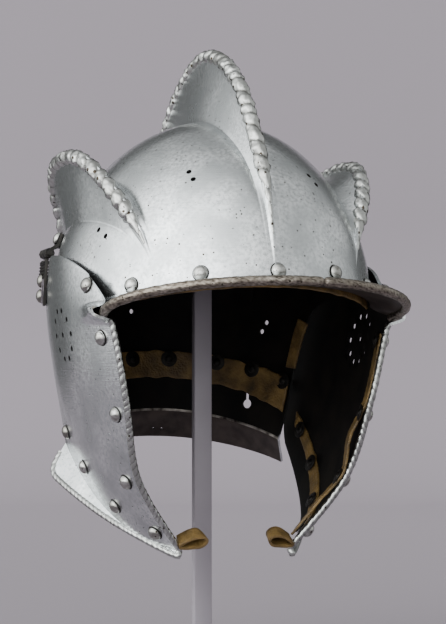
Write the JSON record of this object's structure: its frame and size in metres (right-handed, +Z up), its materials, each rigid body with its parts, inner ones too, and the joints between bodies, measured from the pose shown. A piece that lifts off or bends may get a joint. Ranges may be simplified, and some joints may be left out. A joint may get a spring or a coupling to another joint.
{
  "type": "burgonet on a bar stand",
  "caption": "Open-faced steel helmet with tall roped combs, a peak, a flared neck guard and hinged cheekpieces lined with leather strips, hung on a bar stand.",
  "frame": {"origin": "middle of the stand's underside, straight below the axis of the bowl", "axes": "+Z up, -Y the way the helmet faces, +X the wearer's left"},
  "size_m": [0.2076, 0.278, 0.401],
  "materials": {
    "bright_steel": "polished by hand, with fine scratches and small pits",
    "rivet_steel": "worn satin domes",
    "black_iron": "dark forge skin",
    "lining_leather": "old tanned leather, dull and creased",
    "stand_grey": "satin grey paint"
  },
  "bodies": {
    "helmet": {"skull": "bright_steel", "brow_band": "lining_leather", "nape_band": "lining_leather", "ear_strip_left": "lining_leather", "ear_strip_right": "lining_leather", "brow_rivet_middle": "rivet_steel", "brow_rivet_1_left": "rivet_steel", "brow_rivet_1_right": "rivet_steel", "brow_rivet_2_left": "rivet_steel", "brow_rivet_2_right": "rivet_steel", "nape_rivet_middle": "rivet_steel", "nape_rivet_1_left": "rivet_steel", "nape_rivet_1_right": "rivet_steel", "nape_rivet_2_left": "rivet_steel", "nape_rivet_2_right": "rivet_steel", "nape_rivet_3_left": "rivet_steel", "nape_rivet_3_right": "rivet_steel", "hinge_skull_leaf_left": "black_iron", "hinge_skull_leaf_right": "black_iron", "hinge_pin_left": "black_iron", "hinge_pin_right": "black_iron", "hinge_rivet_3_left": "rivet_steel", "hinge_rivet_3_right": "rivet_steel", "stand_pad": "stand_grey", "stand_post": "stand_grey", "stand_base": "stand_grey"},
    "cheek_left": {"cheekpiece_left": "bright_steel", "cheek_front_strip_left": "lining_leather", "cheek_foot_strip_left": "lining_leather", "tip_loop_left": "lining_leather", "hinge_cheek_leaf_left": "black_iron", "cheek_front_rivet_1_left": "rivet_steel", "cheek_front_rivet_2_left": "rivet_steel", "cheek_front_rivet_3_left": "rivet_steel", "cheek_foot_rivet_1_left": "rivet_steel", "cheek_foot_rivet_2_left": "rivet_steel", "cheek_foot_rivet_3_left": "rivet_steel", "cheek_foot_rivet_4_left": "rivet_steel", "lobe_rivet_left": "rivet_steel", "hinge_rivet_1_left": "rivet_steel", "hinge_rivet_2_left": "rivet_steel"},
    "cheek_right": {"cheekpiece_right": "bright_steel", "cheek_front_strip_right": "lining_leather", "cheek_foot_strip_right": "lining_leather", "tip_loop_right": "lining_leather", "hinge_cheek_leaf_right": "black_iron", "cheek_front_rivet_1_right": "rivet_steel", "cheek_front_rivet_2_right": "rivet_steel", "cheek_front_rivet_3_right": "rivet_steel", "cheek_foot_rivet_1_right": "rivet_steel", "cheek_foot_rivet_2_right": "rivet_steel", "cheek_foot_rivet_3_right": "rivet_steel", "cheek_foot_rivet_4_right": "rivet_steel", "lobe_rivet_right": "rivet_steel", "hinge_rivet_1_right": "rivet_steel", "hinge_rivet_2_right": "rivet_steel"}
  },
  "joints": [
    {"name": "cheek_left_hinge", "type": "hinge", "parent": "helmet", "child": "cheek_left", "pos_m": [0.0975, 0.042, 0.27], "axis": [0, -1, 0], "range_deg": [0, 65]},
    {"name": "cheek_right_hinge", "type": "hinge", "parent": "helmet", "child": "cheek_right", "pos_m": [-0.0975, 0.042, 0.27], "axis": [0, 1, 0], "range_deg": [0, 65]}
  ]
}
